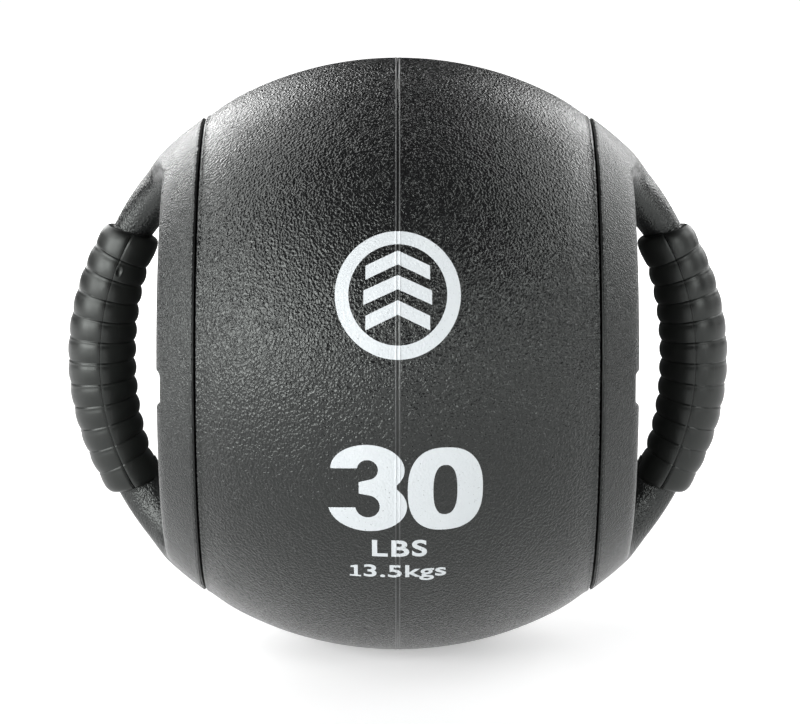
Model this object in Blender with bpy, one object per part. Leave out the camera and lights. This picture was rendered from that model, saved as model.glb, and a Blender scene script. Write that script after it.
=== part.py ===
"""Dual-handle rubber medicine ball, built as its separate pieces.

Metres, +Z up. The origin is the ball's centre and +X runs from handle to handle. Every side piece is
shaped for the +X side, and side -1 mirrors it. The outer surface is an ellipse turned about X.
"""

from math import asin, cos, degrees, pi, radians, sin, sqrt

import bmesh
import bpy
from mathutils import Matrix, Vector

GAP = 0.0003
MERGE_DISTANCE = 0.000001
SHARP_ANGLE = radians(35)

# The ball: half its length along X before the flanks are cut off, and its radius.
BALL_A = 0.1378
BALL_B = 0.127
TURN_STEPS = 40

# The rubber halves: wall, the lip that holds the side cap, and the flat wall behind the cap.
COVER_WALL = 0.012
LIP_X = 0.0815
LIP_INNER_R = 0.0945
LIP_ROUND = 0.0012
SEAT_X = 0.0760
SIDE_WALL = 0.006
OUTSIDE_STEPS = 8
INSIDE_STEPS = 5

# The side caps: flange that meets the lip, flank plane, rim and finger dish.
FLANGE_X = LIP_X + 0.0006
FLANGE_BEVEL = 0.0015
FLANGE_DROP = 0.0010
FLANK_X = 0.0982
RIM_SETBACK = 0.0021
RIM_DROP = 0.0018
RIM_STEPS = 3
DISH_MOUTH_R = 0.0835
DISH_FLOOR_X = 0.0840
DISH_STEPS = 7
NOTCH_WIDTH = 0.014
NOTCH_DEPTH = 0.0015

# The handles lie on an arc about (ARC_X, 0, -HANDLE_DROP) in the XZ plane. Angles count from +X.
# Away from its middle the arc bows outwards, by HANDLE_BOW at BOW_END.
# A horn is round at the grip and grows by so much per degree, and per degree squared, towards the cap.
ARC_X = 0.0283
ARC_R = 0.099
HANDLE_DROP = 0.0020
HANDLE_BOW = 0.0035
BOW_END = radians(60)
GRIP_END = radians(31.6)
HORN_START = radians(31.9)
HORN_END = radians(54)
HORN_STATIONS = 8
HORN_R = 0.0080
HORN_OFFSET = 0.0006
HORN_RADIAL_GROWTH = (0.00010, 0.0000022)
HORN_ACROSS_GROWTH = (0.00020, 0.0000400)
HORN_SIDES = 14

# The bar inside each handle, and its feet on the cap's back.
BAR_R = 0.006
BAR_END = radians(54)
BAR_STATIONS = 16
BAR_SIDES = 12
FOOT_Z = 0.080
FOOT_R = 0.010
FOOT_END_X = 0.090

# The grip sleeve: a ribbed barrel with a slit along its front.
RIB_COUNT = 12
STATIONS_PER_RIB = 3
GRIP_MID_R = 0.0147
GRIP_END_R = 0.0121
RIB_DEPTH = 0.0011
GRIP_SIDES = 16
BORE_SIDES = 9
SLIT_ANGLE = radians(270)
SLIT_HALF_WIDTH = 0.0004

# Fasteners on each foot: one M8 hex screw, one washer, and the plate they pull against.
SCREW_R = 0.004
SCREW_HOLE_R = 0.0043
HEX_ACROSS_FLATS = 0.013
HEAD_HEIGHT = 0.0053
THREAD_DEPTH = 0.0115
WASHER_R = 0.008
WASHER_THICK = 0.0016
PLATE_THICK = 0.003
PLATE_HALF_LENGTH = 0.092
PLATE_HALF_WIDTH = 0.020
PLATE_END_STEPS = 8

# The bladder, its filling, and the filler neck at the back.
BLADDER_GAP = 0.0008
BLADDER_WALL = 0.0025
BLADDER_X = 0.0575
BLADDER_STEPS = 32
BLADDER_ARC_STEPS = 8
NECK_X = 0.022
NECK_R = 0.0090
NECK_BORE_R = 0.0060
NECK_MOUTH_Y = 0.1250
NECK_ROOT_Y = 0.100
NECK_CUT_Y = 0.140
PLUG_ROOT_Y = 0.1110
NEEDLE_R = 0.0010
NEEDLE_DEPTH = 0.008

SIDES = {"left": -1, "right": 1}
ENDS = {"upper": 1, "lower": -1}

# name: (colour, roughness, metallic)
MATERIALS = {
    "grained_rubber": ((0.030, 0.031, 0.033), 0.55, 0.0),
    "cap_rubber": ((0.034, 0.035, 0.037), 0.60, 0.0),
    "grip_rubber": ((0.022, 0.023, 0.022), 0.45, 0.0),
    "bar_steel": ((0.42, 0.43, 0.44), 0.35, 1.0),
    "plate_steel": ((0.50, 0.50, 0.51), 0.40, 1.0),
    "zinc_steel": ((0.62, 0.62, 0.60), 0.30, 1.0),
    "bladder_rubber": ((0.060, 0.050, 0.045), 0.65, 0.0),
    "plug_rubber": ((0.020, 0.020, 0.020), 0.50, 0.0),
    "dense_filling": ((0.24, 0.20, 0.16), 0.90, 0.0),
}


def clear_scene():
    for thing in list(bpy.data.objects):
        bpy.data.objects.remove(thing, do_unlink=True)


def make_materials():
    made = {}
    for name, (colour, roughness, metallic) in MATERIALS.items():
        material = bpy.data.materials.new(name)
        material.use_nodes = True
        shader = material.node_tree.nodes["Principled BSDF"]
        shader.inputs["Base Color"].default_value = (*colour, 1.0)
        shader.inputs["Roughness"].default_value = roughness
        shader.inputs["Metallic"].default_value = metallic
        material.diffuse_color = (*colour, 1.0)
        made[name] = material
    return made


def add_object(name, shape, side=1, material=None):
    """Makes an object of the bmesh. Side -1 mirrors it in X. Without a material it is only a cutter."""
    bmesh.ops.remove_doubles(shape, verts=shape.verts, dist=MERGE_DISTANCE)
    if side < 0:
        bmesh.ops.scale(shape, vec=(-1, 1, 1), verts=shape.verts)
    bmesh.ops.recalc_face_normals(shape, faces=shape.faces)
    mesh = bpy.data.meshes.new(name)
    shape.to_mesh(mesh)
    shape.free()
    mesh.shade_smooth()
    mesh.set_sharp_from_angle(angle=SHARP_ANGLE)
    made = bpy.data.objects.new(name, mesh)
    bpy.context.scene.collection.objects.link(made)
    if material:
        mesh.materials.append(material)
    else:
        made.hide_render = True
        made.display_type = "WIRE"
    return made


def boolean(target, operation, other):
    cut = target.modifiers.new(other.name, "BOOLEAN")
    cut.operation = operation
    cut.object = other
    cut.solver = "EXACT"


def turned(profile, steps, closed=False):
    """Turns a chain of (x, r) points about the X axis. An open chain starts and ends on the axis."""
    shape = bmesh.new()
    points = [shape.verts.new((x, 0, r)) for x, r in profile]
    pairs = list(zip(points, points[1:]))
    if closed:
        pairs.append((points[-1], points[0]))
    edges = [shape.edges.new(pair) for pair in pairs]
    bmesh.ops.spin(
        shape, geom=points + edges, cent=(0, 0, 0), axis=(1, 0, 0), angle=2 * pi, steps=steps, use_merge=True
    )
    return shape


def rod(start, end, radius, steps):
    """A straight round bar from one point to another, or a prism with few steps."""
    start, end = Vector(start), Vector(end)
    along = end - start
    place = Matrix.Translation((start + end) / 2) @ along.to_track_quat("Z", "Y").to_matrix().to_4x4()
    shape = bmesh.new()
    bmesh.ops.create_cone(
        shape,
        cap_ends=True,
        segments=steps,
        radius1=radius,
        radius2=radius,
        depth=along.length,
        matrix=place,
    )
    return shape


def swept(stations):
    """Joins equal rings of points, one after another, and closes both ends."""
    shape = bmesh.new()
    rings = [[shape.verts.new(point) for point in station] for station in stations]
    count = len(rings[0])
    for ring, following in zip(rings, rings[1:]):
        for i in range(count):
            j = (i + 1) % count
            shape.faces.new((ring[i], ring[j], following[j], following[i]))
    shape.faces.new(reversed(rings[0]))
    shape.faces.new(rings[-1])
    return shape


def ball_r(x, inset=0.0):
    """Radius of the ball's surface at x, or of the surface that lies inset under it."""
    return (BALL_B - inset) * sqrt(1 - (x / (BALL_A - inset)) ** 2)


def ball_chain(start_x, end_x, steps, inset=0.0):
    """Points (x, r) along the ball's surface, evenly spread round the ellipse."""
    start = asin(start_x / (BALL_A - inset))
    end = asin(end_x / (BALL_A - inset))
    turns = [start + (end - start) * i / steps for i in range(steps + 1)]
    return [((BALL_A - inset) * sin(turn), (BALL_B - inset) * cos(turn)) for turn in turns]


def arc_point(angle, radial=0.0, across=0.0):
    """A point beside the handle's centreline: radial is outwards in the XZ plane, across is along Y."""
    bow = HANDLE_BOW * (1 - cos(pi * angle / BOW_END)) / 2
    reach = ARC_R + bow + radial
    return Vector((ARC_X + reach * cos(angle), across, reach * sin(angle) - HANDLE_DROP))


def arc_ring(angle, radial_r, across_r, sides, offset=0.0):
    turns = [2 * pi * i / sides for i in range(sides)]
    return [arc_point(angle, offset + radial_r * cos(turn), across_r * sin(turn)) for turn in turns]


def spread(start, end, count):
    return [start + (end - start) * i / (count - 1) for i in range(count)]


def make_cover(name, side, material, cutters):
    """Half of the ball: grained outer wall, lip round the side cap, and the flat wall behind the cap."""
    inner_x = SEAT_X - SIDE_WALL
    edge_x = LIP_X - LIP_ROUND
    edge_r = ball_r(LIP_X)
    profile = [(SEAT_X, 0), (SEAT_X, LIP_INNER_R), (LIP_X, LIP_INNER_R), (LIP_X, edge_r - LIP_ROUND)]
    profile += ball_chain(edge_x, GAP / 2, OUTSIDE_STEPS)
    profile += ball_chain(GAP / 2, inner_x, INSIDE_STEPS, COVER_WALL)
    profile += [(inner_x, 0)]
    cover = add_object(name, turned(profile, TURN_STEPS), side, material)
    for cutter in cutters:
        boolean(cover, "DIFFERENCE", cutter)
    return cover


def dish_x(r):
    """Depth of the finger dish: flat in the middle and steeper towards its mouth."""
    return FLANK_X - (FLANK_X - DISH_FLOOR_X) * (1 - (r / DISH_MOUTH_R) ** 4)


def cap_profile():
    back_x = SEAT_X + GAP
    spigot_r = LIP_INNER_R - GAP
    profile = [(back_x, 0), (back_x, spigot_r), (FLANGE_X, spigot_r)]
    profile += [(FLANGE_X, ball_r(FLANGE_X) - FLANGE_DROP)]
    profile += ball_chain(FLANGE_X + FLANGE_BEVEL, FLANK_X - RIM_SETBACK, RIM_STEPS)
    profile += [(FLANK_X, ball_r(FLANK_X) - RIM_DROP)]
    profile += [(dish_x(r), r) for r in spread(DISH_MOUTH_R, 0, DISH_STEPS)]
    return profile


def horn_ring(angle):
    """A section of a horn: round at the grip, wider and thicker towards the cap."""
    turn = degrees(abs(angle) - HORN_START)
    radii = []
    for linear, squared in (HORN_RADIAL_GROWTH, HORN_ACROSS_GROWTH):
        radii.append(HORN_R + linear * turn + squared * turn**2)
    return arc_ring(angle, *radii, HORN_SIDES, HORN_OFFSET)


def make_horn(name, side, end):
    angles = spread(end * HORN_START, end * HORN_END, HORN_STATIONS)
    return add_object(name, swept([horn_ring(angle) for angle in angles]), side)


def make_bar_shape(name, side, grow, back_x, material=None):
    """The bent bar with its two feet, or with grow the space that it needs."""
    angles = spread(-BAR_END, BAR_END, BAR_STATIONS)
    rings = [arc_ring(angle, BAR_R + grow, BAR_R + grow, BAR_SIDES) for angle in angles]
    bar = add_object(name, swept(rings), side, material)
    for label, end in ENDS.items():
        start = (back_x, 0, end * FOOT_Z)
        stop = (FOOT_END_X + grow, 0, end * FOOT_Z)
        foot = add_object(f"{name}_{label}_foot", rod(start, stop, FOOT_R + grow, TURN_STEPS // 2), side)
        boolean(bar, "UNION", foot)
    return bar


def make_cap(name, side, material):
    """Side cap: flange, rim, finger dish and the two horns, hollow where the bar runs through them."""
    cap = add_object(name, turned(cap_profile(), TURN_STEPS), side, material)
    for label, end in ENDS.items():
        boolean(cap, "UNION", make_horn(f"{name}_{label}_horn", side, end))
    boolean(cap, "DIFFERENCE", make_bar_shape(f"{name}_bar_space", side, GAP, SEAT_X - GAP))
    notch = bmesh.new()
    bmesh.ops.create_cube(notch, size=1)
    bmesh.ops.scale(notch, vec=(2 * NOTCH_DEPTH, 2 * BALL_B, NOTCH_WIDTH), verts=notch.verts)
    bmesh.ops.translate(notch, vec=(FLANK_X, 0, 0), verts=notch.verts)
    boolean(cap, "DIFFERENCE", add_object(f"{name}_notch", notch, side))
    return cap


def make_bar(name, side, material, holes):
    bar = make_bar_shape(name, side, 0, SEAT_X + 2 * GAP, material)
    for hole in holes:
        boolean(bar, "DIFFERENCE", hole)
    return bar


def rib_r(place):
    """Radius of the grip at a place from 0 to 1 along it: a barrel with a V between neighbouring ribs."""
    barrel = GRIP_END_R + (GRIP_MID_R - GRIP_END_R) * sin(pi * place)
    phase = place * RIB_COUNT % 1
    return barrel - RIB_DEPTH * (1 - sqrt(sin(pi * phase)))


def grip_ring(place):
    """A C-shaped section: the ribbed outside one way round, then the bore back to the slit."""
    angle = GRIP_END * (2 * place - 1)
    outer_r = rib_r(place)
    bore_r = (BAR_R + GAP) / cos(pi / BORE_SIDES)
    ring = []
    for radius, sides, way in ((outer_r, GRIP_SIDES, 1), (bore_r, BORE_SIDES, -1)):
        slit = SLIT_HALF_WIDTH / radius
        turns = spread(SLIT_ANGLE + slit, SLIT_ANGLE + 2 * pi - slit, sides + 1)[::way]
        ring += [arc_point(angle, radius * cos(turn), radius * sin(turn)) for turn in turns]
    return ring


def make_grip(name, side, material):
    places = spread(0, 1, RIB_COUNT * STATIONS_PER_RIB + 1)
    return add_object(name, swept([grip_ring(place) for place in places]), side, material)


def make_plate(name, side, material, holes):
    """Round-ended steel plate against the inside of the cover's flat wall."""
    shape = bmesh.new()
    outer_x = SEAT_X - SIDE_WALL - GAP
    straight = PLATE_HALF_LENGTH - PLATE_HALF_WIDTH
    half_turn = spread(0, pi, PLATE_END_STEPS + 1)
    upper = [(PLATE_HALF_WIDTH * cos(turn), straight + PLATE_HALF_WIDTH * sin(turn)) for turn in half_turn]
    outline = upper + [(-y, -z) for y, z in upper]
    face = shape.faces.new([shape.verts.new((outer_x, y, z)) for y, z in outline])
    extruded = bmesh.ops.extrude_face_region(shape, geom=[face])
    moved = [item for item in extruded["geom"] if isinstance(item, bmesh.types.BMVert)]
    bmesh.ops.translate(shape, vec=(-PLATE_THICK, 0, 0), verts=moved)
    plate = add_object(name, shape, side, material)
    for hole in holes:
        boolean(plate, "DIFFERENCE", hole)
    return plate


def screw_x():
    """X of the washer's two faces and of the screw head's two faces, going inwards."""
    washer_outer = SEAT_X - SIDE_WALL - PLATE_THICK - 2 * GAP
    washer_inner = washer_outer - WASHER_THICK
    head_outer = washer_inner - GAP
    return washer_outer, washer_inner, head_outer, head_outer - HEAD_HEIGHT


def make_washer(name, side, end, material):
    outer_x, inner_x, _, _ = screw_x()
    section = [
        (outer_x, SCREW_HOLE_R),
        (outer_x, WASHER_R),
        (inner_x, WASHER_R),
        (inner_x, SCREW_HOLE_R),
    ]
    shape = turned(section, TURN_STEPS // 2, closed=True)
    bmesh.ops.translate(shape, vec=(0, 0, end * FOOT_Z), verts=shape.verts)
    return add_object(name, shape, side, material)


def make_screw(name, side, end, material):
    _, _, head_outer, head_inner = screw_x()
    tip_x = SEAT_X + THREAD_DEPTH
    z = end * FOOT_Z
    corner_r = HEX_ACROSS_FLATS / 2 / cos(pi / 6)
    screw = add_object(name, rod((head_inner, 0, z), (head_outer, 0, z), corner_r, 6), side, material)
    shank = rod((head_inner + HEAD_HEIGHT / 2, 0, z), (tip_x, 0, z), SCREW_R, TURN_STEPS // 2)
    boolean(screw, "UNION", add_object(f"{name}_shank", shank, side))
    return screw


def make_hole(name, side, end):
    """Space for a screw's shank, from inside the ball to just past the screw's tip."""
    start = (BLADDER_X, 0, end * FOOT_Z)
    stop = (SEAT_X + THREAD_DEPTH + 2 * GAP, 0, end * FOOT_Z)
    return add_object(name, rod(start, stop, SCREW_HOLE_R, TURN_STEPS // 2), side)


def bladder_chain(inset):
    """The bladder's outline, or the outline that lies inset under it: a ball with two flat flanks."""
    end_x = BLADDER_X - inset
    chain = ball_chain(-end_x, end_x, BLADDER_ARC_STEPS, COVER_WALL + BLADDER_GAP + inset)
    return [(-end_x, 0), *chain, (end_x, 0)]


def neck_rod(name, start_y, end_y, radius):
    start, stop = (NECK_X, start_y, 0), (NECK_X, end_y, 0)
    return add_object(name, rod(start, stop, radius, TURN_STEPS // 2))


def make_bladder(name, material):
    bladder = add_object(name, turned(bladder_chain(0), BLADDER_STEPS), 1, material)
    boolean(bladder, "UNION", neck_rod("neck", NECK_ROOT_Y, NECK_MOUTH_Y, NECK_R))
    boolean(bladder, "DIFFERENCE", add_object("hollow", turned(bladder_chain(BLADDER_WALL), BLADDER_STEPS)))
    bore_root_y = NECK_ROOT_Y - BLADDER_WALL
    boolean(bladder, "DIFFERENCE", neck_rod("neck_bore", bore_root_y, NECK_CUT_Y, NECK_BORE_R))
    return bladder


def make_plug(name, material):
    """Rubber plug in the bladder's neck, with a hole for an air needle."""
    plug = rod((NECK_X, PLUG_ROOT_Y, 0), (NECK_X, NECK_MOUTH_Y - GAP, 0), NECK_BORE_R - GAP, TURN_STEPS // 2)
    plug = add_object(name, plug, 1, material)
    boolean(plug, "DIFFERENCE", neck_rod("needle_hole", NECK_MOUTH_Y - NEEDLE_DEPTH, NECK_CUT_Y, NEEDLE_R))
    return plug


def make_filling(name, material):
    return add_object(name, turned(bladder_chain(BLADDER_WALL + BLADDER_GAP), BLADDER_STEPS), 1, material)


def build():
    clear_scene()
    look = make_materials()
    neck_space = neck_rod("neck_space", NECK_ROOT_Y, NECK_CUT_Y, NECK_R + GAP)
    for label, side in SIDES.items():
        holes = [make_hole(f"hole_{label}_{where}", side, end) for where, end in ENDS.items()]
        neck_cut = [neck_space] if side * NECK_X > 0 else []
        make_cover(f"cover_{label}", side, look["grained_rubber"], holes + neck_cut)
        make_cap(f"side_cap_{label}", side, look["cap_rubber"])
        make_bar(f"handle_core_{label}", side, look["bar_steel"], holes)
        make_grip(f"grip_{label}", side, look["grip_rubber"])
        make_plate(f"anchor_plate_{label}", side, look["plate_steel"], holes)
        for where, end in ENDS.items():
            make_washer(f"washer_{label}_{where}", side, end, look["zinc_steel"])
            make_screw(f"anchor_screw_{label}_{where}", side, end, look["zinc_steel"])
    make_bladder("bladder", look["bladder_rubber"])
    make_filling("ballast_fill", look["dense_filling"])
    make_plug("filler_plug", look["plug_rubber"])


build()
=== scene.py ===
"""Looks of the dual-handle medicine ball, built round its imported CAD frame.

Metres, +Z up. The origin is the ball's centre and +X runs from handle to handle. Every side piece is
shaped for the +X side, and side -1 mirrors it.
"""

from math import asin, cos, pi, radians, sin, sqrt

import bmesh
import bpy
import numpy as np
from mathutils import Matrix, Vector


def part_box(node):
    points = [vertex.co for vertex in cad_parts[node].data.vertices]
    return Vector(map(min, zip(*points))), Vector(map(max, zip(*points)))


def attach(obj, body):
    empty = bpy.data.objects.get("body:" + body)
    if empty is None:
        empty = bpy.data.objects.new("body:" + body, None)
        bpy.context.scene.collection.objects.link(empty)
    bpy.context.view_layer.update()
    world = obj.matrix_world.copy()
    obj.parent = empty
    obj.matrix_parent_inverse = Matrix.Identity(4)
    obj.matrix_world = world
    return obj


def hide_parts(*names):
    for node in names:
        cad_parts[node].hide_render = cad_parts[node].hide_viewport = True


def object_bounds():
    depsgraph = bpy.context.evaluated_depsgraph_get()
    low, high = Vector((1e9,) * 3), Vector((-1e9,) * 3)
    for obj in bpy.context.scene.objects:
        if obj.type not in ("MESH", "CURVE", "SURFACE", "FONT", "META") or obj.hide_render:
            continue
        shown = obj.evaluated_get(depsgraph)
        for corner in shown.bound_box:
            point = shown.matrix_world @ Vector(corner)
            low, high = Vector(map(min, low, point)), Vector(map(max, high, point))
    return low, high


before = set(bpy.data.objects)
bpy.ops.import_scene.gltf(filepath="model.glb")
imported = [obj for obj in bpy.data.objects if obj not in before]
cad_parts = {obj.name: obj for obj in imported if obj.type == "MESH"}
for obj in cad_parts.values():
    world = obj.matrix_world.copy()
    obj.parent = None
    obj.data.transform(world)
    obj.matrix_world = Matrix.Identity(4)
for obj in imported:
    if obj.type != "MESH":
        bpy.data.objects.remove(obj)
cad_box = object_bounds()

# ---------------------------------------------------------------- driving dimensions
# The ball is an ellipse turned about X. Neighbouring pieces stand GAP apart, as in the CAD.
GAP = 0.0003
BALL_A = 0.1378
BALL_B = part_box("cover_right")[1][2]

# The covers: a grained wall that sinks a little towards its rounded lip, and a flat wall behind the cap.
LIP_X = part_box("cover_right")[1][0]
LIP_INNER_R = 0.0945
LIP_ROUND = 0.0013
LIP_FACE = 0.002
SEAT_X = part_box("side_cap_right")[0][0] - GAP
SIDE_WALL = 0.006
SIDE_WALL_HUB_R = 0.04
COVER_WALL = 0.012
EDGE_SINK = 0.0008
EDGE_SINK_START = 0.066
EDGE_SINK_POWER = 1.5
COVER_STEPS = 480
COVER_RINGS = 46
LIP_RINGS = 7
INSIDE_RINGS = 14

# The seam round the middle: a ridge on each half, a shallow valley between, and a slow wobble.
SEAM_X = 0.00080
SEAM_HALF_WIDTH = 0.00025
SEAM_HEIGHT = 0.00030
SEAM_VALLEY = 0.00004
SEAM_HALF_GAP = 0.00003
SEAM_WOBBLE = 0.00007
SEAM_FADE_X = 0.006
SEAM_VALLEY_RINGS = (SEAM_HALF_GAP, 0.0003, 0.0006)
SEAM_RIDGE_STEPS = (-1.3, -0.9, -0.5, -0.2, 0.1, 0.4, 0.8, 1.2, 1.7, 2.4)
# The wobble sideways and in the ridge's height, as sines: how many round the ball, size and shift.
SEAM_WAVES = ((3, 0.45, 0.4), (7, 0.30, 1.9), (17, 0.15, 0.7), (41, 0.10, 2.2))
RIDGE_WAVES = ((2, 0.12, 1.1), (5, 0.10, 0.3), (13, 0.08, 2.5), (29, 0.06, 0.9))
RIDGE_MEAN = 0.75
# One sharp kink in the seam above the emblem. Its size counts in wobbles.
KINK_SIZE = 4
KINK_TURN = radians(62)
KINK_WIDTH = 0.012

# The filler neck's hole at the back. Its cutter runs from inside the ball to past the surface.
NECK_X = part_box("filler_plug")[0][0] / 2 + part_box("filler_plug")[1][0] / 2
NECK_HOLE_R = 0.0093
NECK_FLARE = 0.0012
NECK_CUT_FROM = 0.095
NECK_CUT_PAST = 0.006
NECK_STEPS = 64

# The smooth bevelled flange between a side cap and its cover.
FLANGE_X = LIP_X + 0.0006
FLANGE_END_X = FLANGE_X + 0.0019
FLANGE_DROP = 0.0011
FLANGE_EDGE = 0.0006
FLANGE_SHOULDER = 0.0002
FLANGE_BULGE = 0.00025
FLANGE_PROUD = 0.00005
FLANGE_TUCK_X = 0.0003
FLANGE_TUCK_R = 0.0004

# The side caps: body, rounded rim, finger dish, and a notch across the rim at the front and at the back.
CAP_BODY_X = FLANGE_X + 0.0007
FLANK_X = 0.0982
RIM_R = 0.0032
RIM_DEPTH_SHARE = 0.8
DISH_MOUTH_R = 0.0835
DISH_FLOOR_X = 0.0840
DISH_POWER = 4
NOTCH_HALF_WIDTH = 0.007
NOTCH_DEPTH = 0.0015
NOTCH_ROUND = 0.0009
NOTCH_INNER_R = DISH_MOUTH_R - 0.006

# The side cap's mesh: a rough voxel mesh, whose points then slide onto the exact surface.
CAP_VOXEL = 0.0010
CAP_SLIDES = 7
CAP_SLIDE_LIMIT = 0.0015
CAP_SLOPE_FLOOR = 0.25
CAP_ROUGH_STEPS = 96
HORN_ROUGH_RINGS = 16
HORN_ROUGH_SIDES = 32
SAME_POINT = 1e-16
TINY = 1e-9

# The handles lie on an arc about (ARC_X, 0, -HANDLE_DROP) in the XZ plane. Angles count from +X.
# Away from its middle the arc bows outwards, by HANDLE_BOW at BOW_END.
ARC_X = 0.0283
ARC_R = 0.099
HANDLE_DROP = 0.0020
HANDLE_BOW = 0.0035
BOW_END = radians(60)
GRIP_END = radians(31.6)
HORN_HIDDEN = radians(29.0)
HORN_START = radians(31.9)
HORN_END = radians(56)
HORN_R = 0.0080
HORN_OFFSET = 0.0006
LOWER_HORN_WEB = 0.0056
# How a horn swells away from the grip, per degree and per squared degree.
HORN_RADIAL_GROWTH = (0.00010, 0.0000022)
HORN_ACROSS_GROWTH = (0.00020, 0.0000400)
# How softly the horns join the cap, and how softly that joint ends at the ball's ellipse.
HORN_BLEND_OUTER = 0.0115
HORN_BLEND_INNER = 0.0050
HORN_CLIP_ROUND = 0.0016
HORN_CLIP_REACH = 0.0080
HORN_CLIP_LEAST = 1e-6

# The grip sleeve. Widths round it are turned into angles at GRIP_MEAN_R.
BAR_R = 0.006
GRIP_MEAN_R = 0.013
RIB_COUNT = 12
STATIONS_PER_RIB = 18
GRIP_SIDES = 128
GRIP_MID_R = 0.0147
GRIP_END_R = 0.0121
RIB_DEPTH_OUTER = 0.0008
RIB_DEPTH_FRONT = 0.0006
RIB_DEPTH_INNER = 0.0014
RIB_SHARPNESS = 0.62
# A fine lip beside each valley and a dip before it: size, place in the rib and width.
RIB_LIP = (0.00010, 0.925, 0.030)
RIB_DIP = (0.00008, 0.83, 0.060)
END_RING_TILT = radians(3.0)
END_RING_PROUD = 0.0001
END_RING_POWER = 2.4
SLEEVE_MOUTH_R = 0.0098
STATION_CROWDING = 0.6
SIDE_CROWDING = 0.75
SLIT_ANGLE = radians(270)
SLIT_MID_HALF = 0.00006
SLIT_END_HALF = 0.00035
SLIT_LIP_DROP = 0.00035
SLIT_LIP_WIDTH = 0.0006

# A moulding pit beside the left sleeve's slit. Its place counts along the sleeve, from 0 to 1, and the
# place and width of its raised rim count in pit sizes.
PIT_PLACE = 0.872
PIT_FROM_SLIT = 0.13
PIT_SLEEVE_R = 0.0135
PIT_HALF_LENGTH = 0.0017
PIT_HALF_WIDTH = 0.0011
PIT_DEPTH = 0.0006
PIT_RIM = (0.0002, 1.3, 0.35)

# The prints: ink film, and how finely it is cut so that it follows the ball.
INK_THICK = 0.00006
INK_ROOT = 0.00020
INK_CELL = 0.003
SAME_PLACE = 0.000002
ON_CUT = 0.000001

# Places of the prints on the ball's front: x, and s up along the curve from the ball's middle.
EMBLEM_PLACE = (0.0, 0.0443)
EMBLEM_RADII = (0.0250, 0.0262)
EMBLEM_HOLE_RADII = (0.0196, 0.0206)
CHEVRON_PITCH = 0.0102
CHEVRON_DROP = 0.0043
CHEVRON_RISE = 0.0062
CHEVRON_THICK = 0.0058
CHEVRON_HALF_WIDTH = 0.0128
MID_CHEVRON_HALF_WIDTH = 0.0136
THREE_PLACE = (-0.0116, -0.0358)
ZERO_PLACE = (0.0190, -0.0363)
POUNDS_PLACE = (0.0007, -0.0641)
POUNDS_SIZE = (0.0222, 0.0089)
ONE_PLACE = (-0.0172, -0.0774)
ONE_SIZE = (0.0046, 0.0068)
KILOGRAMS_PLACE = (0.0029, -0.0780)
KILOGRAMS_SIZE = (0.0334, 0.0095)

# The moulded leather grain, and the black rubber's gloss, whose reflections lean slightly to green.
GRAIN_PITCH = 0.00106
GRAIN_DEPTH = 0.00042
GRAIN_TILT = 38
GRAIN_STRETCH = 0.8
CAP_PITCH = 0.00082
CAP_DEPTH = 0.00036
RUBBER_SPECULAR = 0.55
RUBBER_TINT = (0.95, 1.0, 0.965, 1.0)

SIDES = {"left": -1, "right": 1}
ENDS = {"upper": 1, "lower": -1}


# ---------------------------------------------------------------- meshes
def placed(name, data):
    """Adds an object of the given data to the scene."""
    made = bpy.data.objects.new(name, data)
    bpy.context.scene.collection.objects.link(made)
    return made


def mesh_object(name, points, faces, material, side=1, normals=None, sharp=radians(35)):
    """Makes an object of arrays of points and faces. Side -1 mirrors it in X."""
    points = np.array(points, dtype=float)
    if side < 0:
        points[:, 0] *= -1
        faces = [tuple(face)[::-1] for face in faces]
    mesh = bpy.data.meshes.new(name)
    mesh.from_pydata(points.tolist(), [], [tuple(face) for face in faces])
    mesh.update()
    mesh.shade_smooth()
    if normals is not None:
        normals = np.array(normals, dtype=float)
        if side < 0:
            normals[:, 0] *= -1
        mesh.normals_split_custom_set_from_vertices(normals.tolist())
    elif sharp:
        mesh.set_sharp_from_angle(angle=sharp)
    if material:
        mesh.materials.append(material)
    return placed(name, mesh)


def strip_faces(rows, columns, closed=False):
    """Quads between rings of points. A closed grid also joins its last ring to its first."""
    faces = []
    for row in range(rows if closed else rows - 1):
        following = (row + 1) % rows
        for column in range(columns):
            beside = (column + 1) % columns
            corners = ((row, column), (following, column), (following, beside), (row, beside))
            faces.append(tuple(line * columns + place for line, place in corners))
    return faces


def turned_grid(x, r, phi):
    """Points of rings about X. x and r are grids of stations and turns, and phi counts from -Y to +Z."""
    return np.stack([x, -r * np.cos(phi), r * np.sin(phi)], axis=-1)


def turned_chain(chain, steps):
    """Rings about X of a chain of (x, r) points."""
    chain = np.array(chain, dtype=float)
    phi = np.linspace(0, 2 * pi, steps, endpoint=False)[None, :]
    return turned_grid(np.repeat(chain[:, :1], steps, 1), np.repeat(chain[:, 1:], steps, 1), phi)


def turned_ring(profile, steps):
    """Points and faces of a closed chain of (x, r) points turned about X."""
    return turned_chain(profile, steps).reshape(-1, 3), strip_faces(len(profile), steps, closed=True)


def turned_solid(profile, steps):
    """Points and faces of a chain turned about X that starts and ends on the axis."""
    return close_poles(turned_chain(profile[1:-1], steps), profile[0][0], profile[-1][0])


def close_poles(grid, first_x, last_x):
    """Adds a point on the axis at each end of a grid of rings, and the fans that close it."""
    rows, steps = grid.shape[:2]
    faces = strip_faces(rows, steps)
    first, last = rows * steps, rows * steps + 1
    for column in range(steps):
        beside = (column + 1) % steps
        faces.append((first, column, beside))
        faces.append((last, (rows - 1) * steps + beside, (rows - 1) * steps + column))
    points = np.concatenate([grid.reshape(-1, 3), [[first_x, 0, 0], [last_x, 0, 0]]])
    return points, faces


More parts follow.
